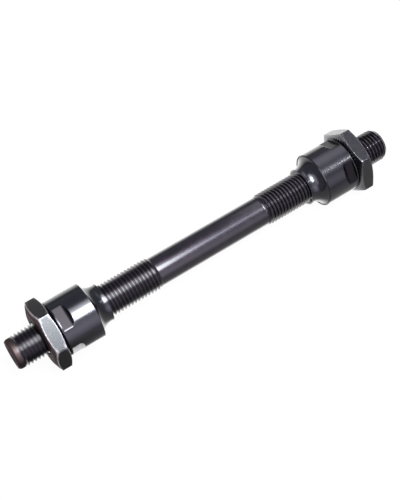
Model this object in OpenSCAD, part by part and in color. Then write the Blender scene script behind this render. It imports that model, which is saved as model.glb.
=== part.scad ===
// Hollow front wheel axle with its two bearing cones and two locknuts.
// The axle lies along X and its middle is the origin, with Z up.
// Every piece is a turned part, drawn about its own Z axis and then laid along X.

/* [Axle] */
// Length over both ends
axle_len = 115; // [108:0.5:130]
// Outside diameter over the thread crests
thread_d = 8.9; // [8.6:0.05:9.3]
// Length of each threaded end
thread_len = 40.7; // [38:0.1:44]
// Diameter of the plain middle
shank_d = 8.1; // [7.2:0.05:8.4]
// Bore for the skewer
bore_d = 5.1; // [4.8:0.05:5.8]
// Radial size of the lead-in at each end
end_chamfer_r = 0.65; // [0.3:0.05:0.9]
// Length of that lead-in
end_chamfer_len = 1.1; // [0.5:0.1:1.8]
// Length of the taper from thread to plain middle
runout_len = 0.9; // [0.4:0.1:2]

/* [Cones] */
// Outside diameter
cone_d = 15.2; // [14:0.1:16]
// Length from outer end to lip
cone_len = 13.9; // [13:0.1:16]
// Diameter of the lip inside the ball race
lip_d = 10.4; // [10:0.1:11.2]
// Length from the bottom of the race to the end of the lip
lip_len = 0.7; // [0.5:0.1:1.5]
// Radius of the ball race
race_r = 3.8; // [3.2:0.05:4.2]
// How far the race dips below the lip
race_dip = 0.05; // [0.02:0.01:0.1]
// Bevel on the outer end and at the rim of the race
cone_bevel = 0.3; // [0.1:0.05:0.6]
// Width across the spanner flats
cone_flats_w = 13.8; // [13:0.1:13.9]
// Length of a flat along the axle
flat_len = 3.5; // [2.5:0.1:4.5]
// Full ring left between a flat and the outer end
flat_collar = 0.6; // [0.4:0.1:1.6]
// Radius that the cutter leaves at the inner end of a flat
cutter_r = 1.2; // [0.8:0.1:2]

/* [Locknuts] */
// Width across the flats
nut_w = 17; // [16:0.5:19]
// Thickness
nut_t = 4.4; // [3.5:0.1:6]
// Diameter of the round face inside the corner chamfer
nut_face_d = 14.6; // [14:0.1:15.2]
// Angle of the corner chamfer
nut_chamfer_angle = 20; // [18:1:25]
// Number of teeth on the face towards the cone
tooth_count = 48; // [24:1:60]
// Depth of the grooves between the teeth
tooth_depth = 0.3; // [0.15:0.05:0.3]
// Width of a groove at the face
tooth_gap = 0.7; // [0.4:0.05:0.8]

/* [Assembly] */
// Axle end showing beyond the left locknut
left_stub = 8.2; // [5:0.1:9]
// Axle end showing beyond the right locknut
right_stub = 8.0; // [5:0.1:9]
// Turn of the left locknut from flat side down
left_nut_turn = 19.3; // [0:0.1:60]
// Turn of the right locknut from flat side down
right_nut_turn = 0; // [0:0.1:60]
// Turn of the left cone from flat side down
left_cone_turn = 1.8; // [0:0.1:90]
// Turn of the right cone from flat side down
right_cone_turn = 42; // [0:0.1:90]
// Radial play between a threaded bore and the axle
thread_play = 0.05; // [0.03:0.01:0.08]

/* [Hidden] */
$fn = 96;

thread_r = thread_d / 2;
shank_r = shank_d / 2;
bore_r = bore_d / 2;
axle_half = axle_len / 2;

// Threaded bore shared by the cones and the locknuts, and its countersink
hub_bore_r = thread_r + thread_play;
countersink = 0.4;

// The race is an arc about the ball's centre, level with the start of the lip
cone_r = cone_d / 2;
lip_r = lip_d / 2;
race_z = cone_len - lip_len;
race_centre_r = lip_r - race_dip + race_r;
rim_r = cone_r - cone_bevel;
rim_z = race_z - sqrt(race_r * race_r - (rim_r - race_centre_r) * (rim_r - race_centre_r));
flat_r = cone_flats_w / 2;

nut_corner_r = nut_w / 2 / cos(30);
nut_face_r = nut_face_d / 2;
// The chamfer is drawn a little past the corners, so that it cuts them cleanly
nut_reach_r = nut_corner_r + 0.5;
nut_chamfer_t = (nut_reach_r - nut_face_r) * tan(nut_chamfer_angle);
// The teeth start just outside the countersink
tooth_start_r = hub_bore_r + countersink + 0.3;
// Cutters reach this far past the faces they open
cut_past = 1;

black_oxide = "#2c2b33";
worn_oxide = "#34333b";

// Lays a piece along X with its outer end at x, seen from the left end
module from_left(x, turn) {
    translate([x, 0, 0])
        rotate([0, 90, 0])
            rotate([0, 0, turn])
                children();
}

// The same, mirrored, for the right end
module from_right(x, turn) {
    translate([x, 0, 0])
        rotate([0, -90, 0])
            rotate([0, 0, -turn])
                children();
}

// Half of the axle's outline, from its end at z = 0 to the middle
function axle_half_outline() = [
    [bore_r, axle_half],
    [bore_r, countersink],
    [bore_r + countersink, 0],
    [thread_r - end_chamfer_r, 0],
    [thread_r, end_chamfer_len],
    [thread_r, thread_len],
    [shank_r, thread_len + runout_len],
    [shank_r, axle_half]
];

// The whole outline is that half and its mirror image
function axle_outline() = concat(
    [for (p = axle_half_outline()) [p[0], p[1] - axle_half]],
    [for (i = [len(axle_half_outline()) - 1 : -1 : 0])
        let (p = axle_half_outline()[i]) [p[0], axle_half - p[1]]]
);

module axle() {
    color(black_oxide)
        rotate([0, 90, 0])
            rotate_extrude()
                polygon(axle_outline());
}

// Cone section: a full cylinder as far as the race, then the lip
function cone_outline() = [
    [hub_bore_r + countersink, 0],
    [cone_r - cone_bevel, 0],
    [cone_r, cone_bevel],
    [cone_r, rim_z - cone_bevel],
    [rim_r - cone_bevel, rim_z + cone_bevel],
    [rim_r - cone_bevel, race_z],
    [lip_r, race_z],
    [lip_r, cone_len - cone_bevel],
    [lip_r - cone_bevel, cone_len],
    [hub_bore_r + countersink, cone_len],
    [hub_bore_r, cone_len - countersink],
    [hub_bore_r, countersink]
];

// Cutter for one spanner flat: straight into the collar, rounded at the inner end
module flat_cutter() {
    flat_end = flat_collar + flat_len;
    rotate([90, 0, 0])
        linear_extrude(height = 2 * cone_d, center = true) {
            translate([flat_r, flat_collar])
                square([cone_r, flat_len - cutter_r]);
            translate([flat_r + cutter_r, flat_end - cutter_r])
                circle(cutter_r);
        }
}

module cone() {
    difference() {
        rotate_extrude()
            difference() {
                polygon(cone_outline());
                translate([race_centre_r, race_z])
                    circle(race_r);
            }
        for (quarter = [0 : 3])
            rotate([0, 0, 90 * quarter])
                flat_cutter();
    }
}

module cone_left() {
    color(worn_oxide)
        from_left(left_stub + nut_t - axle_half, left_cone_turn)
            cone();
}

module cone_right() {
    color(worn_oxide)
        from_right(axle_half - right_stub - nut_t, right_cone_turn)
            cone();
}

// Envelope of the nut: flat round faces, corners chamfered on both sides
function nut_envelope() = [
    [0, 0],
    [nut_face_r, 0],
    [nut_reach_r, nut_chamfer_t],
    [nut_reach_r, nut_t - nut_chamfer_t],
    [nut_face_r, nut_t],
    [0, nut_t]
];

// Bore with a countersink at both faces
function nut_bore() = [
    [0, -cut_past],
    [hub_bore_r + countersink + cut_past, -cut_past],
    [hub_bore_r, countersink],
    [hub_bore_r, nut_t - countersink],
    [hub_bore_r + countersink + cut_past, nut_t + cut_past],
    [0, nut_t + cut_past]
];

// One radial groove in the face towards the cone
module tooth_groove() {
    translate([tooth_start_r, 0, nut_t])
        rotate([0, 90, 0])
            linear_extrude(height = nut_corner_r)
                polygon([
                    [0, -tooth_gap / 2],
                    [tooth_depth, 0],
                    [0, tooth_gap / 2],
                    [-cut_past, tooth_gap / 2],
                    [-cut_past, -tooth_gap / 2]
                ]);
}

module locknut() {
    difference() {
        intersection() {
            rotate([0, 0, 30])
                cylinder(r = nut_corner_r, h = nut_t, $fn = 6);
            rotate_extrude()
                polygon(nut_envelope());
        }
        rotate_extrude()
            polygon(nut_bore());
        // A tooth, and not a groove, stands at each corner of the nut
        for (i = [0 : tooth_count - 1])
            rotate([0, 0, 360 / tooth_count * (i + 0.5)])
                tooth_groove();
    }
}

module locknut_left() {
    color(black_oxide)
        from_left(left_stub - axle_half, left_nut_turn)
            locknut();
}

module locknut_right() {
    color(black_oxide)
        from_right(axle_half - right_stub, right_nut_turn)
            locknut();
}

axle();
cone_left();
cone_right();
locknut_left();
locknut_right();
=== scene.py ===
"""Quick release front axle: a hollow threaded rod with a bearing cone and a locknut on each end.

Everything is in metres. The axle lies along X, Z is up, and the origin is the axle's middle.
"""

from math import atan, atan2, cos, pi, radians, sin, sqrt, tan

import bmesh
import bpy
import numpy as np
from bpy.props import FloatProperty, FloatVectorProperty, IntProperty, PointerProperty
from mathutils import Matrix, Vector


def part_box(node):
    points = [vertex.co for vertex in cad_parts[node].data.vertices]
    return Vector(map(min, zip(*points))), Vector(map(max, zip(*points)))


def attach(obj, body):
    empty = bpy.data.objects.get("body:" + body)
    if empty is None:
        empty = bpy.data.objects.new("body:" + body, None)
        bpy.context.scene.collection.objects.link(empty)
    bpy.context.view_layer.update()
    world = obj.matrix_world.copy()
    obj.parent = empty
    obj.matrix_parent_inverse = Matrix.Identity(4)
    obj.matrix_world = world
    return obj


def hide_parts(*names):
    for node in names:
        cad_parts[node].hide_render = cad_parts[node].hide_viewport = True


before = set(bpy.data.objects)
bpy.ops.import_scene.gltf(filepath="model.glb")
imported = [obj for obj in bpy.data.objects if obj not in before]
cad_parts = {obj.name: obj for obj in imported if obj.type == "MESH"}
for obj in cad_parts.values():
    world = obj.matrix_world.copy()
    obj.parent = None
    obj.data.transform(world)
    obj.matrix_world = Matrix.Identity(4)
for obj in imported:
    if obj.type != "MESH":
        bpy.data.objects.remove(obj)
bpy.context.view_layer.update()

bl_info = {
    "name": "Quick Release Front Axle",
    "version": (1, 0, 0),
    "blender": (4, 5, 0),
    "location": "View3D > Sidebar > Axle",
    "description": "Builds a black oxide front wheel axle with its cones and locknuts",
    "category": "Add Mesh",
}

MM = 0.001
MERGE = 0.001 * MM  # vertices nearer than this are one
SHARP = radians(30)  # faces that meet at more than this show an edge
WHITE = (1, 1, 1, 1)

# Sizes that the CAD nodes give
AXLE_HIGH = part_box("axle")[1]
CONE_LOW, CONE_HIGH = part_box("cone_left")
NUT_LOW, NUT_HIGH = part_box("locknut_right")
CONE_LEN, NUT_THICK = CONE_HIGH.x - CONE_LOW.x, NUT_HIGH.x - NUT_LOW.x

# Direction along X from the outer face of each cone and locknut to the axle's middle, and that face's place
INWARD = {"cone_left": 1, "cone_right": -1, "locknut_left": 1, "locknut_right": -1}
OUTER_FACE = {node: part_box(node)[0 if way > 0 else 1].x for node, way in INWARD.items()}


def length(name, description, default):
    """A property that is a length in metres."""
    return FloatProperty(name=name, description=description, default=default, precision=5, unit="LENGTH")


def angle(name, description, default):
    """A property that is an angle, its default given in degrees."""
    return FloatProperty(name=name, description=description, default=radians(default), unit="ROTATION")


def fraction(name, description, default):
    """A property from 0 to 1."""
    return FloatProperty(
        name=name, description=description, default=default, min=0, max=1, subtype="FACTOR"
    )


def count(name, description, default, least):
    """A property that is a whole number."""
    return IntProperty(name=name, description=description, default=default, min=least)


def linear(code):
    """An sRGB hex colour such as #2c2b33 as linear RGBA."""
    parts = [int(code[i:i + 2], 16) / 255 for i in (1, 3, 5)]
    return [c / 12.92 if c <= 0.04045 else ((c + 0.055) / 1.055) ** 2.4 for c in parts] + [1.0]


def colour(name, description, code):
    """A property that is a colour, its default given as an sRGB hex colour."""
    return FloatVectorProperty(
        name=name, description=description, default=linear(code)[:3], size=3, subtype="COLOR", min=0, max=1
    )


class AxleSizes(bpy.types.PropertyGroup):
    """Sizes of the hollow axle."""

    pitch: length("Pitch", "Distance between neighbouring threads", 1.0 * MM)
    thread_depth: length("Thread depth", "Radial depth of the thread", 0.56 * MM)
    thread_len: length("Thread length", "Length of the right threaded end", 40.3 * MM)
    left_extra: length("Left extra", "How much longer the left threaded end is", 1.8 * MM)
    runout: length("Run-out", "Length over which the thread fades into the shank", 1.6 * MM)
    shank_d: length("Shank diameter", "Diameter of the plain middle", 8.1 * MM)
    bore_d: length("Bore diameter", "Hole for the skewer", 5.1 * MM)
    lead_depth: length("Lead-in depth", "Radial size of the lead-in at each end", 0.65 * MM)
    lead_len: length("Lead-in length", "Length of the lead-in at each end", 1.1 * MM)
    pilot_len: length("Pilot length", "Plain nose before the thread at the left end", 1.8 * MM)
    pilot_r: length("Pilot radius", "Radius of that nose", 4.15 * MM)
    countersink: length("Countersink", "Bevel at the mouth of each bore", 0.4 * MM)
    rows_per_pitch: count("Rows per pitch", "Mesh rows in one thread", 8, 8)
    around: count("Around", "Mesh faces round the axle", 72, 24)


class ConeSizes(bpy.types.PropertyGroup):
    """Sizes of a bearing cone, measured from its outer end."""

    bore_d: length("Bore diameter", "Threaded hole over the axle", 9.0 * MM)
    lip_d: length("Lip diameter", "Diameter inside the ball race", 10.4 * MM)
    lip_len: length("Lip length", "From the bottom of the race to the end", 0.7 * MM)
    race_r: length("Race radius", "Radius of the ball race", 3.8 * MM)
    race_dip: length("Race dip", "How far the race dips below the lip", 0.05 * MM)
    lip_round: length("Lip rounding", "Rounding at the end of the lip", 0.2 * MM)
    bevel: length("Bevel", "Bevel at the outer end and at the rim", 0.3 * MM)
    flats_w: length("Flats", "Width across the spanner flats", 13.8 * MM)
    flat_len: length("Flat length", "Length of a flat along the axle", 3.5 * MM)
    flat_collar: length("Collar", "Full ring outside the flats", 0.6 * MM)
    cutter_r: length("Cutter radius", "Rounding at the inner end of a flat", 1.2 * MM)
    edge: length("Edge softness", "Rounding along the flats' edges", 0.1 * MM)
    polish: fraction("Polish", "How bare the spanner has rubbed one flat of each cone", 0.8)
    left_turn: angle("Left turn", "Turn of the left cone from flat side down", 1.8)
    right_turn: angle("Right turn", "Turn of the right cone from flat side down", 42)
    around: count("Around", "Mesh faces round the cone", 288, 48)


class NutSizes(bpy.types.PropertyGroup):
    """Sizes of a locknut, measured from its outer face."""

    width: length("Width", "Width across the flats", 17.0 * MM)
    face_d: length("Face diameter", "Round face inside the corner chamfer", 14.6 * MM)
    chamfer: angle("Chamfer", "Angle of the corner chamfer", 20)
    tooth_count: count("Teeth", "Teeth on the face towards the cone", 48, 3)
    tooth_depth: length("Tooth depth", "Depth of the grooves", 0.3 * MM)
    tooth_gap: length("Groove width", "Width of a groove at the face", 0.7 * MM)
    corner: length("Corner softness", "Rounding of the six corners", 0.25 * MM)
    edge: length("Edge softness", "Rounding where chamfer and flats meet", 0.12 * MM)
    worn: length("Worn edge", "Reach of the wear on each side of an edge", 0.28 * MM)
    left_wear: fraction("Left wear", "How bare the left locknut's edges are", 1.0)
    right_wear: fraction("Right wear", "How bare the right locknut's edges are", 0.45)
    left_turn: angle("Left turn", "Turn of the left locknut from flat side down", 19.3)
    right_turn: angle("Right turn", "Turn of the right locknut from flat side down", 0)


class Finishes(bpy.types.PropertyGroup):
    """Colours of the steel and the stage."""

    axle_tone: colour("Axle", "Black oxide on the rolled thread", "#302a33")
    cone_tone: colour("Cones", "Black oxide on ground steel", "#2a2932")
    nut_tone: colour("Locknuts", "Satin black oxide", "#26252c")
    milled_tone: colour("Milled flats", "Black oxide on rough milled steel", "#242125")
    bare_tone: colour("Bare edges", "Steel worn bare", "#a8a4aa")
    # The next three colours are painted reflection: brown put on the faces at the left end, standing in for
    # a brownish reflection from that side
    painted_reflection_dark: colour("Dry oxide", "Dry brown oxide where it is thick", "#3a3032")
    painted_reflection_light: colour("Dry oxide, thin", "Dry brown oxide where it is thin", "#6e5f5d")
    painted_reflection_edge: colour("Dry oxide, edge on", "Dry brown oxide seen at a low angle", "#6b5d5b")
    floor_tone: colour("Floor", "Paper under the axle", "#f4f4f4")


def add(tree, kind, *values, out=None, named=None, **settings):
    """Adds a node with its settings, links or sets its inputs, and returns one of its outputs.

    The values go to the inputs that the settings leave in use, in order, and None leaves one as it is.
    Without a name in out, the first output in use is returned, or the node where it has none.
    """
    node = tree.nodes.new(kind)
    for name, value in settings.items():
        setattr(node, name, value)
    pairs = list(zip([socket for socket in node.inputs if socket.enabled], values))
    pairs += [(node.inputs[name], value) for name, value in (named or {}).items()]
    for socket, value in pairs:
        if isinstance(value, bpy.types.NodeSocket):
            tree.links.new(value, socket)
        elif value is not None:
            socket.default_value = value
    if out:
        return node.outputs[out]
    return next((socket for socket in node.outputs if socket.enabled), node)


def geometry_tree(name, sockets):
    """A geometry tree with named inputs. Returns the tree and its input sockets by name."""
    tree = bpy.data.node_groups.new(name, "GeometryNodeTree")
    tree.interface.new_socket("Geometry", in_out="INPUT", socket_type="NodeSocketGeometry")
    for label, kind in sockets.items():
        tree.interface.new_socket(label, in_out="INPUT", socket_type=kind)
    tree.interface.new_socket("Geometry", in_out="OUTPUT", socket_type="NodeSocketGeometry")
    group = tree.nodes.new("NodeGroupInput")
    return tree, {s.name: s for s in group.outputs if s.name}


def run_tree(mesh, tree, values):
    """Runs a geometry tree on a mesh and returns the result as a plain mesh."""
    holder = bpy.data.objects.new("holder", mesh)
    bpy.context.scene.collection.objects.link(holder)
    modifier = holder.modifiers.new("tree", "NODES")
    modifier.node_group = tree
    for item in tree.interface.items_tree:
        if item.in_out == "INPUT" and item.name in values:
            modifier[item.identifier] = values[item.name]
    bpy.context.view_layer.update()
    evaluated = holder.evaluated_get(bpy.context.evaluated_depsgraph_get())
    result = bpy.data.meshes.new_from_object(evaluated)
    bpy.data.objects.remove(holder)
    return result


def turned_mesh(name, rings, segments, closed):
    """A mesh of rings of points about the X axis, each ring with a point per segment."""
    around = np.arange(segments)
    faces = []
    for ring in range(len(rings) if closed else len(rings) - 1):
        this, after = ring * segments, (ring + 1) % len(rings) * segments
        step = (around + 1) % segments
        faces.append(np.stack([this + around, after + around, after + step, this + step], axis=1))
    mesh = bpy.data.meshes.new(name)
    mesh.from_pydata(np.asarray(rings).reshape(-1, 3).tolist(), [], np.concatenate(faces).tolist())
    return mesh


def write_shares(mesh, **shares):
    """Stores a number from 0 to 1 per vertex for each named attribute."""
    for name, values in shares.items():
        attribute = mesh.attributes.new(name, "FLOAT", "POINT")
        attribute.data.foreach_set("value", np.concatenate(values))


def ring_points(x, radius, angles):
    """Points round the X axis. x and radius are numbers or one value per angle."""
    x, radius = np.broadcast_to(x, angles.shape), np.broadcast_to(radius, angles.shape)
    return np.stack([x, radius * np.cos(angles), radius * np.sin(angles)], axis=-1)


def soft_min(a, b, blend):
    """The smaller of a and b, with the corner between them rounded over blend."""
    share = np.clip(0.5 + 0.5 * (b - a) / blend, 0, 1)
    return b + (a - b) * share - blend * share * (1 - share)


def off_normal(angles, first, sides):
    """Angle of each direction from the nearest of the sides' normals, the first of which is at first."""
    period = 2 * pi / sides
    return (angles - first + period / 2) % period - period / 2


def finish_mesh(mesh):
    """Merges doubles, turns the faces outwards and marks the edges that stay sharp."""
    bm = bmesh.new()
    bm.from_mesh(mesh)
    bmesh.ops.remove_doubles(bm, verts=bm.verts, dist=MERGE)
    bmesh.ops.dissolve_degenerate(bm, edges=bm.edges, dist=MERGE)
    bmesh.ops.recalc_face_normals(bm, faces=bm.faces)
    for face in bm.faces:
        face.smooth = True
    bm.to_mesh(mesh)
    bm.free()
    mesh.set_sharp_from_angle(angle=SHARP)
    mesh.update()


def make_piece(name, mesh, node, finish):
    """Puts a finished mesh in the scene in place of its CAD node, on that node's body."""
    mesh.name = name
    mesh.materials.clear()
    mesh.materials.append(finish)
    piece = bpy.data.objects.new(name, mesh)
    bpy.context.scene.collection.objects.link(piece)
    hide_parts(node)
    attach(piece, node)
    return piece


# Lightness and roughness of the oxide's darkest and lightest patches, beside the finish's own
PATCH_LIGHT = (0.5, 1.4)
PATCH_ROUGHNESS = (0.8, 1.25)
# The noise that draws the patches lies mostly between these values
CLOUDY = (0.3, 0.7)
# Index of refraction of the oil
OIL_IOR = 1.6
# Painted brown reflection at the left end, and milled flats: their roughness, and the share of the oil that
# is left on them
PAINTED_BROWN_ROUGHNESS, PAINTED_BROWN_OIL = 0.5, 0.1
MILLED_ROUGHNESS, MILLED_OIL = 0.32, 0.2
# Bare steel: its roughness, and how much of it shows from low to high noise, so that it looks ragged
BARE_ROUGHNESS = 0.26
RAGGED_NOISE, RAGGED_SHARE = (0.3, 0.6), (0.5, 1.0)
# The tool's marks: their depth, how strongly they show, and how many, end to end, a metre would hold
MARK_DEPTH, MARK_STRENGTH, MARKS_ROUND = 0.01 * MM, 0.15, 60


def steel(name, tone, roughness, oil_roughness, patch, mark, painted_brown_span=None):
    """Black oxide steel under a thin film of oil, which is the shader's coat.

    patch is the size of the oxide's cloudy patches and mark the distance between the tool's marks.
    The last argument gives the places along X where painted brown, standing in for a brownish reflection,
    begins and where it is full. The attributes milled and wear, where a mesh has them, say where the oxide
    is milled and rough and where it is worn off.
    """
    finishes = bpy.context.scene.axle_finishes
    material = bpy.data.materials.new(name)
    material.use_nodes = True
    tree = material.node_tree
    tree.nodes.clear()
    place = add(tree, "ShaderNodeTexCoord", out="Object")
    # Cloudy patches where the oxide is thicker
    clouds = add(
        tree, "ShaderNodeTexNoise",
        named={"Vector": place, "Scale": 1 / patch, "Detail": 4.0, "Roughness": 0.6},
    )
    thick, thin = ([c * light for c in tone] + [1] for light in PATCH_LIGHT)
    base = add(tree, "ShaderNodeMix", clouds, thick, thin, data_type="RGBA")
    smooth, coarse = (roughness * part for part in PATCH_ROUGHNESS)
    rough = add(tree, "ShaderNodeMapRange", clouds, *CLOUDY, smooth, coarse)
    edge_tint, film = WHITE, 1.0
    if painted_brown_span:
        # Painted reflection: brown painted into the colour and the edge tint of the faces at the left end,
        # with little oil and a rougher surface, standing in for a brownish reflection from that side
        along = add(tree, "ShaderNodeSeparateXYZ", place)
        painted_brown_share = add(tree, "ShaderNodeMapRange", along, *painted_brown_span, 0.0, 1.0)
        dark, light = (*finishes.painted_reflection_dark, 1), (*finishes.painted_reflection_light, 1)
        brown = add(tree, "ShaderNodeMix", clouds, dark, light, data_type="RGBA")
        base = add(tree, "ShaderNodeMix", painted_brown_share, base, brown, data_type="RGBA")
        edge_tint = add(tree, "ShaderNodeMix", painted_brown_share, edge_tint, (*finishes.painted_reflection_edge, 1), data_type="RGBA")
        film = add(tree, "ShaderNodeMapRange", painted_brown_share, 0.0, 1.0, 1.0, PAINTED_BROWN_OIL)
        rough = add(tree, "ShaderNodeMapRange", painted_brown_share, 0.0, 1.0, rough, PAINTED_BROWN_ROUGHNESS)
    # The milled flats are left rough and hold little oil
    milled = add(tree, "ShaderNodeAttribute", out="Fac", attribute_name="milled")
    base = add(tree, "ShaderNodeMix", milled, base, (*finishes.milled_tone, 1), data_type="RGBA")
    wet = add(tree, "ShaderNodeMapRange", milled, 0.0, 1.0, 1.0, MILLED_OIL)
    film = add(tree, "ShaderNodeMath", film, wet, operation="MULTIPLY")
    rough = add(tree, "ShaderNodeMapRange", milled, 0.0, 1.0, rough, MILLED_ROUGHNESS)
    # Bare steel along handled edges and on a polished flat
    wear = add(tree, "ShaderNodeAttribute", out="Fac", attribute_name="wear")
    ragged = add(tree, "ShaderNodeMapRange", clouds, *RAGGED_NOISE, *RAGGED_SHARE)
    worn = add(tree, "ShaderNodeMath", wear, ragged, operation="MULTIPLY")
    base = add(tree, "ShaderNodeMix", worn, base, (*finishes.bare_tone, 1), data_type="RGBA")
    rough = add(tree, "ShaderNodeMapRange", worn, 0.0, 1.0, rough, BARE_ROUGHNESS)
    film = add(tree, "ShaderNodeMath", film, worn, operation="MAXIMUM")
    # Rings left by the tool: close along the axle and long round it
    stretched = add(
        tree, "ShaderNodeMapping", named={"Vector": place, "Scale": (1 / mark, MARKS_ROUND, MARKS_ROUND)}
    )
    marks = add(tree, "ShaderNodeTexNoise", named={"Vector": stretched, "Scale": 1.0, "Detail": 2.0})
    bump = add(
        tree, "ShaderNodeBump", named={"Strength": MARK_STRENGTH, "Distance": MARK_DEPTH, "Height": marks}
    )
    shader = add(
        tree, "ShaderNodeBsdfPrincipled",
        named={
            "Base Color": base, "Metallic": 1.0, "Roughness": rough, "Specular Tint": edge_tint,
            "Normal": bump, "Coat Weight": film, "Coat Roughness": oil_roughness, "Coat IOR": OIL_IOR,
        },
    )
    add(tree, "ShaderNodeOutputMaterial", shader)
    return material


def rolled_steel(nose):
    """Steel rolled to a thread, then blackened and oiled.

    The rolls leave it fairly smooth, so the eye gets one soft streak along the shank and a glint on each
    crest. The nose is painted brown, standing in for a brownish reflection from the left. Real marks are
    about 0.05 mm apart, and are drawn three times as coarse so that they show.
    """
    end = AXLE_HIGH.x
    return steel(
        "rolled_black_oxide_steel", bpy.context.scene.axle_finishes.axle_tone, roughness=0.34,
        oil_roughness=0.16, patch=2.5 * MM, mark=0.15 * MM, painted_brown_span=(nose * 1.1 - end, nose * 0.8 - end),
    )


def ground_steel():
    """Hardened steel, turned and ground, then blackened and oiled.

    Grinding leaves the smoothest of the three finishes, so the eye gets sharp, bright streaks and a
    clear spark in the race. Real grinding marks are about 0.05 mm apart, and are drawn six times as
    coarse so that they show.
    """
    return steel(
        "ground_black_oxide_steel", bpy.context.scene.axle_finishes.cone_tone, roughness=0.24,
        oil_roughness=0.16, patch=3.0 * MM, mark=0.3 * MM,
    )


def satin_steel():
    """Bar steel, tumbled and then blackened, with little oil.

    Tumbling leaves it satin, so the eye gets even, dull flats with light edges where the oxide has worn
    off. The left locknut's outer face is painted brown, standing in for a brownish reflection from the
    left. Real turning marks are about 0.1 mm apart, and are drawn five times as coarse so that they show.
    """
    face = OUTER_FACE["locknut_left"]
    return steel(
        "satin_black_oxide_steel", bpy.context.scene.axle_finishes.nut_tone, roughness=0.32,
        oil_roughness=0.24, patch=1.2 * MM, mark=0.5 * MM, painted_brown_span=(face + 0.75 * MM, face + 0.6 * MM),
    )


def thread_tree():
    """A rod with a rolled thread at both ends, laid over the bored core that comes in."""
    tree, given = geometry_tree("rolled_thread", {
        "Length": "NodeSocketFloat", "Thread Length": "NodeSocketFloat",
        "Left Extra": "NodeSocketFloat", "Run-out": "NodeSocketFloat",
        "Pitch": "NodeSocketFloat", "Crest Radius": "NodeSocketFloat", "Root Radius": "NodeSocketFloat",
        "Shank Radius": "NodeSocketFloat", "Lead-in Depth": "NodeSocketFloat",
        "Lead-in Length": "NodeSocketFloat", "Pilot Length": "NodeSocketFloat",
        "Pilot Radius": "NodeSocketFloat", "Rows per Pitch": "NodeSocketInt",
        "Around": "NodeSocketInt", "Material": "NodeSocketMaterial",
    })
    math = "ShaderNodeMath"
    # One grid, with its rows along the axle and its columns round it
    covered = add(tree, math, given["Length"], given["Pitch"], operation="ADD")
    turns = add(tree, math, covered, given["Pitch"], operation="DIVIDE")
    steps = add(tree, math, turns, given["Rows per Pitch"], operation="MULTIPLY")
    last_row = add(tree, math, steps, operation="CEIL")
    rows = add(tree, math, last_row, 1.0, operation="ADD")
    columns = add(tree, math, given["Around"], 1.0, operation="ADD")
    grid = add(tree, "GeometryNodeMeshGrid", 1.0, 1.0, rows, columns)
    place = add(tree, "GeometryNodeInputPosition")
    split = add(tree, "ShaderNodeSeparateXYZ", place)
    across = split.node.outputs["Y"]
    row_share = add(tree, math, split, 0.5, operation="ADD")
    row_place = add(tree, math, row_share, last_row, operation="MULTIPLY")
    row = add(tree, math, row_place, operation="ROUND")
    turn = add(tree, math, across, 0.5, operation="ADD")
    # Each row climbs one pitch in one turn, so that it follows the thread
    row_turn = add(tree, math, row, given["Rows per Pitch"], operation="DIVIDE")
    climbed = add(tree, math, row_turn, turn, operation="ADD")
    begun = add(tree, math, climbed, 1.0, operation="SUBTRACT")
    unclamped = add(tree, math, begun, given["Pitch"], operation="MULTIPLY")
    not_before = add(tree, math, unclamped, 0.0, operation="MAXIMUM")
    station = add(tree, math, not_before, given["Length"], operation="MINIMUM")
    to_go = add(tree, math, given["Length"], station, operation="SUBTRACT")
    from_end = add(tree, math, station, to_go, operation="MINIMUM")
    # Thread section: a crest and a root an eighth of the pitch wide, with straight flanks
    phase = add(tree, math, row_turn, operation="FRACT")
    from_root = add(tree, math, phase, 9 / 16, operation="SUBTRACT")
    away = add(tree, math, from_root, operation="ABSOLUTE")
    height = add(tree, "ShaderNodeMapRange", away, 1 / 16, 7 / 16, 0.0, 1.0)
    cut = add(tree, "ShaderNodeMapRange", height, 0.0, 1.0, given["Root Radius"], given["Crest Radius"])
    # The thread fades into the shank
    from_left = add(tree, math, station, given["Left Extra"], operation="SUBTRACT")
    into_thread = add(tree, math, from_left, to_go, operation="MINIMUM")
    fade_from = add(tree, math, given["Thread Length"], given["Run-out"], operation="SUBTRACT")
    fade = add(
        tree, "ShaderNodeMapRange", into_thread, fade_from, given["Thread Length"], 0.0, 1.0,
        interpolation_type="SMOOTHSTEP",
    )
    body = add(tree, "ShaderNodeMapRange", fade, 0.0, 1.0, cut, given["Shank Radius"])
    # The thread rises out of a plain nose at the left end, over a quarter of the nose's length
    nose_end = add(tree, math, given["Pilot Length"], 1.25, operation="MULTIPLY")
    risen = add(tree, "ShaderNodeMapRange", station, given["Pilot Length"], nose_end, 0.0, 1.0)
    body = add(tree, "ShaderNodeMapRange", risen, 0.0, 1.0, given["Pilot Radius"], body)
    # The lead-in cuts the first threads
    crest = given["Crest Radius"]
    rim = add(tree, math, crest, given["Lead-in Depth"], operation="SUBTRACT")
    lead = add(tree, "ShaderNodeMapRange", from_end, 0.0, given["Lead-in Length"], rim, crest)
    radius = add(tree, math, body, lead, operation="MINIMUM")
    around = add(tree, math, turn, 2 * pi, operation="MULTIPLY")
    cosine = add(tree, math, around, operation="COSINE")
    sine = add(tree, math, around, operation="SINE")
    half = add(tree, math, given["Length"], 0.5, operation="MULTIPLY")
    x = add(tree, math, station, half, operation="SUBTRACT")
    y = add(tree, math, radius, cosine, operation="MULTIPLY")
    z = add(tree, math, radius, sine, operation="MULTIPLY")
    point = add(tree, "ShaderNodeCombineXYZ", x, y, z)
    skin = add(tree, "GeometryNodeSetPosition", grid, None, point)
    joined = add(tree, "GeometryNodeJoinGeometry", skin)
    tree.links.new(given["Geometry"], joined.node.inputs[0])
    real = add(tree, "GeometryNodeRealizeInstances", joined)
    dressed = add(tree, "GeometryNodeSetMaterial", real, None, given["Material"])
    add(tree, "NodeGroupOutput", dressed)
    return tree


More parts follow.
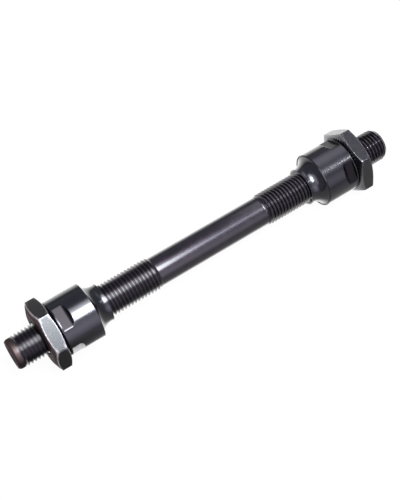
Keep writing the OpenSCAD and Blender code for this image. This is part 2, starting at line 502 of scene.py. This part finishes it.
def tooth_tree():
    """Radial grooves cut into a nut's face, one rule for all of them."""
    tree, given = geometry_tree("radial_teeth", {
        "Teeth": "NodeSocketInt", "Depth": "NodeSocketFloat", "Groove Width": "NodeSocketFloat",
        "Start Radius": "NodeSocketFloat", "Face": "NodeSocketFloat", "Inward": "NodeSocketFloat",
        "First": "NodeSocketFloat", "Material": "NodeSocketMaterial",
    })
    math = "ShaderNodeMath"
    place = add(tree, "GeometryNodeInputPosition")
    x = add(tree, "ShaderNodeSeparateXYZ", place)
    y, z = x.node.outputs["Y"], x.node.outputs["Z"]
    direction = add(tree, math, z, y, operation="ARCTAN2")
    radial = add(tree, "ShaderNodeCombineXYZ", 0.0, y, z)
    radius = add(tree, "ShaderNodeVectorMath", radial, operation="LENGTH")
    # Angle from the middle of the nearest groove
    counted = add(tree, math, direction, given["First"], operation="SUBTRACT")
    pitch = add(tree, math, 2 * pi, given["Teeth"], operation="DIVIDE")
    half = add(tree, math, pitch, 0.5, operation="MULTIPLY")
    low = add(tree, math, half, -1.0, operation="MULTIPLY")
    aside = add(tree, math, counted, half, low, operation="WRAP")
    slant = add(tree, math, aside, operation="SINE")
    sideways = add(tree, math, slant, radius, operation="MULTIPLY")
    off = add(tree, math, sideways, operation="ABSOLUTE")
    half_gap = add(tree, math, given["Groove Width"], 0.5, operation="MULTIPLY")
    cut = add(tree, "ShaderNodeMapRange", off, 0.0, half_gap, given["Depth"], 0.0)
    # What stands above the groove's floor is cut back to it
    floor = add(tree, math, given["Face"], cut, operation="SUBTRACT")
    depth_in = add(tree, math, x, given["Inward"], operation="MULTIPLY")
    kept = add(tree, math, depth_in, floor, operation="MINIMUM")
    new_x = add(tree, math, kept, given["Inward"], operation="MULTIPLY")
    point = add(tree, "ShaderNodeCombineXYZ", new_x, y, z)
    outside = add(tree, "FunctionNodeCompare", radius, given["Start Radius"], operation="GREATER_THAN")
    cut_face = add(tree, "GeometryNodeSetPosition", given["Geometry"], outside, point)
    real = add(tree, "GeometryNodeRealizeInstances", cut_face)
    dressed = add(tree, "GeometryNodeSetMaterial", real, None, given["Material"])
    add(tree, "NodeGroupOutput", dressed)
    return tree


def axle_core(sizes, half, rim, segments):
    """The faces of the axle that no thread covers: its bore and its two ends."""
    bore, sink = sizes.bore_d / 2, sizes.countersink
    outline = [
        (-half, rim), (-half, bore + sink), (-half + sink, bore),
        (half - sink, bore), (half, bore + sink), (half, rim),
    ]
    angles = np.arange(segments) * 2 * pi / segments
    return turned_mesh("axle_core", [ring_points(x, r, angles) for x, r in outline], segments, closed=False)


def quarter_round(points):
    """Angles of the points along a quarter of a circle."""
    return np.linspace(0, pi / 2, points)


def cone_outline(sizes, outer, sink):
    """The cone's closed outline as (distance from the outer end, radius) pairs."""
    bore, lip = sizes.bore_d / 2, sizes.lip_d / 2
    race_x = CONE_LEN - sizes.lip_len
    centre = lip - sizes.race_dip + sizes.race_r
    rim = outer - sizes.bevel
    rim_x = race_x - sqrt(sizes.race_r ** 2 - (rim - centre) ** 2)
    lip_x = race_x + sqrt(sizes.race_r ** 2 - (centre - lip) ** 2)
    flat_end = sizes.flat_collar + sizes.flat_len

    # Outer end and its bevel, drawn as a quarter round
    points = [(sink, bore), (0, bore + sink), (0, (bore + outer) / 2)]
    bevel = quarter_round(6)
    points += [(sizes.bevel * (1 - cos(a)), outer - sizes.bevel * (1 - sin(a))) for a in bevel]
    # Close rows where the flats begin, even rows along them
    wall, step = sizes.flat_collar, 0.12 * MM
    points += [(wall + offset * MM, outer) for offset in (-0.3, -0.12, -0.06, -0.03, 0, 0.03, 0.06, 0.12)]
    points += [(x, outer) for x in np.arange(wall + 0.25 * MM, flat_end + 0.2 * MM, step)]
    points += [(x, outer) for x in np.linspace(flat_end + 0.8 * MM, rim_x - 2 * sizes.bevel, 5)]
    # Rim, race and lip
    points += [(rim_x - sizes.bevel * cos(a), outer - sizes.bevel * (1 - sin(a))) for a in bevel[::-1]]
    start = atan2(rim - centre, rim_x - race_x) % (2 * pi)
    end = atan2(lip - centre, lip_x - race_x) % (2 * pi)
    arc = np.linspace(start, end, 22)[1:]
    points += [(race_x + sizes.race_r * cos(a), centre + sizes.race_r * sin(a)) for a in arc]
    soft = sizes.lip_round
    points += [(CONE_LEN - soft * (1 - sin(a)), lip - soft * (1 - cos(a))) for a in quarter_round(5)]
    points += [(CONE_LEN, bore + sink), (CONE_LEN - sink, bore)]
    return points


def cone_mesh(name, sizes, turn, sink):
    """A cone: its outline turned about the axle, with four spanner flats milled into it."""
    angles = np.arange(sizes.around) * 2 * pi / sizes.around
    aside = off_normal(angles, pi / 2 + turn, 4)
    flat, cutter = sizes.flats_w / 2, sizes.cutter_r
    straight_to = sizes.flat_collar + sizes.flat_len - cutter
    steepness = 20  # the collar's wall rises this much faster than it runs
    full_cut = 0.1 * MM  # a cut this deep is all milled surface
    # The spanner has polished one flat of the four
    polished = np.cos(angles - pi - turn) > cos(pi / 4)
    rings, milled, wear = [], [], []
    for x, radius in cone_outline(sizes, CONE_HIGH.y, sink):
        ring = np.full(angles.shape, radius)
        turned = ring
        if radius > flat and x < straight_to + cutter:
            floor = flat + max(0, sizes.flat_collar - x) * steepness
            if x > straight_to:
                floor = flat + cutter - sqrt(cutter ** 2 - (x - straight_to) ** 2)
            ring = soft_min(ring, floor / np.cos(aside), sizes.edge)
        rings.append(ring_points(OUTER_FACE[name] + INWARD[name] * x, ring, angles))
        milled.append(np.clip((turned - ring) / full_cut, 0, 1))
        wear.append(sizes.polish * milled[-1] * polished)
    mesh = turned_mesh(name, rings, sizes.around, closed=True)
    write_shares(mesh, milled=milled, wear=wear)
    return mesh


def nut_mesh(name, sizes, turn, amount, bore, sink):
    """A locknut without its teeth: a hexagon inside two chamfer cones, its edges worn by amount."""
    faces_per_tooth = 6
    segments = sizes.tooth_count * faces_per_tooth
    angles = np.arange(segments) * 2 * pi / segments
    aside = np.abs(off_normal(angles, pi / 2 + turn, 6))
    flat, face = sizes.width / 2, sizes.face_d / 2
    hexagon = soft_min(flat / np.cos(aside), flat / np.cos(pi / 3 - aside), sizes.corner)
    chamfer_t = (flat / cos(pi / 6) - face) * tan(sizes.chamfer)
    face_rows = np.linspace(bore + sink, face, 8)
    side_rows = np.concatenate([
        np.linspace(0, chamfer_t, 16)[1:],
        np.linspace(chamfer_t, NUT_THICK - chamfer_t, 6)[1:-1],
        np.linspace(NUT_THICK - chamfer_t, NUT_THICK, 16)[:-1],
    ])
    # Rows out over the outer face, along the sides, whose radius comes below, and in over the toothed face
    rows = [(sink, bore)] + [(0, r) for r in face_rows]
    rows += [(x, None) for x in side_rows]
    rows += [(NUT_THICK, r) for r in face_rows[::-1]] + [(NUT_THICK - sink, bore)]
    rings, wear = [], []
    for x, radius in rows:
        worn = np.zeros(angles.shape)
        if radius is None:
            cone = face + min(x, NUT_THICK - x) / tan(sizes.chamfer)
            radius = soft_min(hexagon, np.full(angles.shape, cone), sizes.edge)
            # Bare steel shows within this distance of the edge between chamfer and flat
            worn = amount * np.clip(1 - np.abs(hexagon - cone) * tan(sizes.chamfer) / sizes.worn, 0, 1)
        rings.append(ring_points(OUTER_FACE[name] + INWARD[name] * x, radius, angles))
        wear.append(worn)
    mesh = turned_mesh(name, rings, segments, closed=True)
    write_shares(mesh, wear=wear)
    return mesh


class AXLE_OT_axle(bpy.types.Operator):
    """Make the hollow axle with its rolled threads"""

    bl_idname = "axle_parts.axle"
    bl_label = "Make Axle"

    def execute(self, context):
        sizes = context.scene.axle_sizes
        half, crest = AXLE_HIGH.x, AXLE_HIGH.y
        finish = rolled_steel(sizes.pilot_len)
        core = axle_core(sizes, half, crest - sizes.lead_depth, sizes.around)
        mesh = run_tree(core, thread_tree(), {
            "Length": 2 * half, "Thread Length": sizes.thread_len,
            "Left Extra": sizes.left_extra, "Run-out": sizes.runout,
            "Pitch": sizes.pitch, "Crest Radius": crest, "Root Radius": crest - sizes.thread_depth,
            "Shank Radius": sizes.shank_d / 2, "Lead-in Depth": sizes.lead_depth,
            "Lead-in Length": sizes.lead_len, "Pilot Length": sizes.pilot_len,
            "Pilot Radius": sizes.pilot_r, "Rows per Pitch": sizes.rows_per_pitch,
            "Around": sizes.around, "Material": finish,
        })
        finish_mesh(mesh)
        make_piece("hollow_axle", mesh, "axle", finish)
        return {"FINISHED"}


class AXLE_OT_cones(bpy.types.Operator):
    """Make the two bearing cones with their races and spanner flats"""

    bl_idname = "axle_parts.cones"
    bl_label = "Make Cones"

    def execute(self, context):
        sizes, sink = context.scene.cone_sizes, context.scene.axle_sizes.countersink
        finish = ground_steel()
        for node, turn in (("cone_left", sizes.left_turn), ("cone_right", sizes.right_turn)):
            mesh = cone_mesh(node, sizes, turn, sink)
            finish_mesh(mesh)
            make_piece(f"bearing_{node}", mesh, node, finish)
        return {"FINISHED"}


class AXLE_OT_nuts(bpy.types.Operator):
    """Make the two locknuts with their toothed faces"""

    bl_idname = "axle_parts.nuts"
    bl_label = "Make Locknuts"

    def execute(self, context):
        sizes = context.scene.nut_sizes
        cone, axle = context.scene.cone_sizes, context.scene.axle_sizes
        bore, sink = cone.bore_d / 2, axle.countersink
        plain_rim = 0.2 * MM  # left round the countersink before the teeth start
        finish = satin_steel()
        tree = tooth_tree()
        for node, turn, worn in (
            ("locknut_left", sizes.left_turn, sizes.left_wear),
            ("locknut_right", sizes.right_turn, sizes.right_wear),
        ):
            plain = nut_mesh(node, sizes, turn, worn, bore, sink)
            inward = INWARD[node]
            mesh = run_tree(plain, tree, {
                "Teeth": sizes.tooth_count, "Depth": sizes.tooth_depth, "Groove Width": sizes.tooth_gap,
                "Start Radius": bore + sink + plain_rim, "Face": OUTER_FACE[node] * inward + NUT_THICK,
                "Inward": float(inward), "First": pi / 2 + turn + pi / sizes.tooth_count,
                "Material": finish,
            })
            finish_mesh(mesh)
            make_piece(f"hex_{node}", mesh, node, finish)
        return {"FINISHED"}


# The camera, found from the photo: its distance from the axle's middle, and the tilt of the axle's right
# end away from it
CAMERA_DISTANCE = 268.1 * MM
CAMERA_TILT = radians(16.23)
CAMERA_OFFSET = (2.14 * MM, -0.87 * MM)  # of the axle's middle from the line of sight, along and across it
CAMERA_SIDE = radians(105.5)  # direction of the camera round the axle, from +Y towards +Z
PICTURE_TURN = radians(30.18)  # slope of the axle in the picture
FOCAL_PIXELS = 1025.7  # focal length in the picture's pixels
PICTURE_HEIGHT = 500  # pixels
SENSOR = 36  # mm along the picture's height


def camera_axes():
    """Unit vectors along the axle in the picture, across it, and into the picture."""
    axle = Vector((1, 0, 0))
    towards = Vector((0, cos(CAMERA_SIDE), sin(CAMERA_SIDE)))
    across = Vector((0, -sin(CAMERA_SIDE), cos(CAMERA_SIDE)))
    along = axle * cos(CAMERA_TILT) + towards * sin(CAMERA_TILT)
    forward = axle * sin(CAMERA_TILT) - towards * cos(CAMERA_TILT)
    return along, across, forward


def make_camera():
    """A camera where the photo's stood, turned so that the axle slopes as it does there."""
    along, across, forward = camera_axes()
    right = along * cos(PICTURE_TURN) + across * sin(PICTURE_TURN)
    down = across * cos(PICTURE_TURN) - along * sin(PICTURE_TURN)
    place = -(along * CAMERA_OFFSET[0] + across * CAMERA_OFFSET[1] + forward * CAMERA_DISTANCE)
    camera = bpy.data.objects.new("camera", bpy.data.cameras.new("camera"))
    bpy.context.scene.collection.objects.link(camera)
    turn = Matrix((right, -down, -forward)).transposed().to_4x4()
    camera.matrix_world = Matrix.Translation(place) @ turn
    camera.data.sensor_width = SENSOR
    camera.data.lens = FOCAL_PIXELS / PICTURE_HEIGHT * SENSOR
    camera.data.clip_start, camera.data.clip_end = 10 * MM, 20
    bpy.context.scene.camera = camera


def make_lamp(name, place, size, radiance, tint, fade):
    """A rectangular lamp square to the axle, its first size along the axle.

    Its power follows from its size and radiance. With a fade it has a grid in front, through which it
    dims evenly to nothing at that slant, given as sideways distance over distance.
    """
    data = bpy.data.lights.new(name, "AREA")
    data.shape = "RECTANGLE"
    data.size, data.size_y = size
    data.energy = radiance * pi * size[0] * size[1]
    data.color = tint
    if fade:
        data.spread = 2 * atan(fade)
        data.energy *= 1 - atan(fade) / fade
    lamp = bpy.data.objects.new(name, data)
    bpy.context.scene.collection.objects.link(lamp)
    back = Vector((0, *place[1:])).normalized()
    turn = Matrix(((1, 0, 0), back.cross((1, 0, 0)), back)).transposed().to_4x4()
    lamp.matrix_world = Matrix.Translation(place) @ turn


def round_axle(x, side, distance):
    """A point beside the axle: side is the angle from the camera's side, positive down the picture."""
    a = CAMERA_SIDE + side
    return (x, distance * cos(a), distance * sin(a))


# The floor is a square with sides of twice this length
FLOOR_REACH = 3.0
# Share of plain white in the floor that the camera sees. The rest is lit paper, which keeps the shadow
PLAIN_SHARE = 0.95

# How bright the floor is in the steel: painted light and shade that only reflected rays see, a glow under
# and behind the axle as though the floor were a lamp there, and a painted shadow in front of it. Across the
# axle, with the camera on the side of negative Y, it grows from dark in front to full over one range, and
# fades behind over the other
PAINTED_SHADOW_EDGE = (-11 * MM, -8.5 * MM)
PAINTED_GLOW_FADE, PAINTED_GLOW_BRIGHTNESS = (20 * MM, 80 * MM), (1.3, 0.15)
# Along the axle, the painted shadow in front is deepest before the left end
PAINTED_SHADOW_LEFT_FADE, PAINTED_SHADOW_BRIGHTNESS = (-45 * MM, -25 * MM), (0.08, 0.35)

# The room round the stage
ROOM_TINT, ROOM_LIGHT = (0.82, 0.82, 1, 1), 0.38


def white_paper(tone):
    """Matt white paper, which gives the eye no gloss and no pattern, only the axle's faint shadow.

    In the steel it shows a painted glow under the axle and behind it, and a painted shadow in front of it,
    for it glows by place for reflected rays.
    """
    material = bpy.data.materials.new("white_paper")
    material.use_nodes = True
    tree = material.node_tree
    tree.nodes.clear()
    camera_ray = add(tree, "ShaderNodeLightPath", out="Is Camera Ray")
    glossy_ray = camera_ray.node.outputs["Is Glossy Ray"]
    paper = add(tree, "ShaderNodeBsdfDiffuse", (*tone, 1))
    along = add(tree, "ShaderNodeSeparateXYZ", add(tree, "ShaderNodeTexCoord", out="Object"))
    beside = along.node.outputs["Y"]
    # Painted shadow in front of the axle and painted glow under and behind it, seen only by reflected rays
    dark = add(tree, "ShaderNodeMapRange", along, *PAINTED_SHADOW_LEFT_FADE, *PAINTED_SHADOW_BRIGHTNESS)
    front = add(tree, "ShaderNodeMapRange", beside, *PAINTED_SHADOW_EDGE, dark, 1.0)
    behind = add(tree, "ShaderNodeMapRange", beside, *PAINTED_GLOW_FADE, *PAINTED_GLOW_BRIGHTNESS)
    painted_glow = add(tree, "ShaderNodeMath", front, behind, operation="MULTIPLY")
    painted_glow_emission = add(tree, "ShaderNodeEmission", WHITE, painted_glow)
    lit = add(tree, "ShaderNodeMixShader", glossy_ray, paper, painted_glow_emission)
    share_white = add(tree, "ShaderNodeMath", camera_ray, PLAIN_SHARE, operation="MULTIPLY")
    plain = add(tree, "ShaderNodeEmission", WHITE, 1.0)
    add(tree, "ShaderNodeOutputMaterial", add(tree, "ShaderNodeMixShader", share_white, lit, plain))
    return material


def make_floor(tone):
    """A flat floor that both locknuts rest on."""
    rest_left, rest_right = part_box("locknut_left")[0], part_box("locknut_right")[0]
    slope = (rest_right.z - rest_left.z) / (rest_right.x - rest_left.x)
    level = rest_left.z - rest_left.x * slope
    corners = [
        (sx * FLOOR_REACH, sy * FLOOR_REACH, level + sx * FLOOR_REACH * slope)
        for sx, sy in ((-1, -1), (1, -1), (1, 1), (-1, 1))
    ]
    mesh = bpy.data.meshes.new("floor")
    mesh.from_pydata(corners, [], [(0, 1, 2, 3)])
    mesh.materials.append(white_paper(tone))
    floor = bpy.data.objects.new("floor", mesh)
    bpy.context.scene.collection.objects.link(floor)


def make_world():
    """A dim, bluish room that the camera sees as plain white."""
    world = bpy.data.worlds.new("studio")
    world.use_nodes = True
    tree = world.node_tree
    tree.nodes.clear()
    camera_ray = add(tree, "ShaderNodeLightPath", out="Is Camera Ray")
    room = add(tree, "ShaderNodeBackground", ROOM_TINT, ROOM_LIGHT)
    plain = add(tree, "ShaderNodeBackground", WHITE, 1.0)
    add(tree, "ShaderNodeOutputWorld", add(tree, "ShaderNodeMixShader", camera_ray, room, plain))
    bpy.context.scene.world = world


# Each lamp's name, place along the axle, angle in degrees from the camera's side, distance from the axle,
# sizes along and across the axle, radiance, tint, and fade
LAMPS = (
    # Beside the camera, so that its streak runs along the middle of each round
    ("key", 0.012, -8, 0.28, (0.09, 0.14), 21, (0.93, 1, 1), None),
    # The narrow end of that streak, over the shank's right half
    ("streak", 0.10, -8, 0.28, (0.11, 0.03), 27, (0.72, 0.92, 1), 0.36),
    # Lets the key's light fade softly towards the top of the picture
    ("top_fade", 0.0, -22, 0.30, (0.12, 0.28), 9, (1, 1, 1), 0.46),
    # Broad lights that the right end mirrors, beside the camera and towards the top
    ("far_fill", 0.205, -8, 0.30, (0.16, 0.36), 5, (0.97, 0.97, 1), 0.6),
    ("far_top", 0.21, -55, 0.30, (0.18, 0.40), 3, (0.97, 0.92, 1), 0.8),
    # Broad lights towards the foot of the picture, and for what faces the left end
    ("low_fill", 0.14, 40, 0.30, (0.40, 0.46), 1.7, (0.94, 0.89, 1), 0.75),
    ("left_fill", -0.15, 0, 0.30, (0.16, 0.40), 3.4, (0.96, 0.93, 1), 1.2),
    # Small lamps for the two sparks on the right cone
    ("near_spark", 0.134, -8, 0.28, (0.02, 0.015), 55, (1, 1, 1), None),
    ("far_spark", 0.189, -8, 0.28, (0.016, 0.015), 40, (1, 1, 1), None),
)


class AXLE_OT_stage(bpy.types.Operator):
    """Make the floor, the lamps and the camera"""

    bl_idname = "axle_parts.stage"
    bl_label = "Make Stage"

    def execute(self, context):
        scene = context.scene
        scene.view_settings.view_transform = "Standard"
        make_camera()
        make_floor(scene.axle_finishes.floor_tone)
        make_world()
        for name, x, side, distance, size, radiance, tint, fade in LAMPS:
            make_lamp(name, round_axle(x, radians(side), distance), size, radiance, tint, fade)
        return {"FINISHED"}


class AXLE_PT_panel(bpy.types.Panel):
    """The axle's parts in the sidebar"""

    bl_idname = "AXLE_PT_panel"
    bl_label = "Front Axle"
    bl_space_type = "VIEW_3D"
    bl_region_type = "UI"
    bl_category = "Axle"

    def draw(self, context):
        for operator in OPERATORS:
            self.layout.operator(operator.bl_idname)
        for group, owner in GROUPS.items():
            box = self.layout.box()
            box.label(text=group.__doc__)
            for name in group.__annotations__:
                box.prop(getattr(context.scene, owner), name)


OPERATORS = (AXLE_OT_axle, AXLE_OT_cones, AXLE_OT_nuts, AXLE_OT_stage)
GROUPS = {
    AxleSizes: "axle_sizes", ConeSizes: "cone_sizes", NutSizes: "nut_sizes", Finishes: "axle_finishes",
}
CLASSES = (*GROUPS, *OPERATORS, AXLE_PT_panel)


def register():
    for kind in CLASSES:
        bpy.utils.register_class(kind)
    for group, name in GROUPS.items():
        setattr(bpy.types.Scene, name, PointerProperty(type=group))


def unregister():
    for name in GROUPS.values():
        delattr(bpy.types.Scene, name)
    for kind in reversed(CLASSES):
        bpy.utils.unregister_class(kind)


def main():
    """Registers the add-on and builds the axle with its stage."""
    register()
    bpy.ops.axle_parts.stage()
    bpy.ops.axle_parts.axle()
    bpy.ops.axle_parts.cones()
    bpy.ops.axle_parts.nuts()


if __name__ == "__main__":
    main()
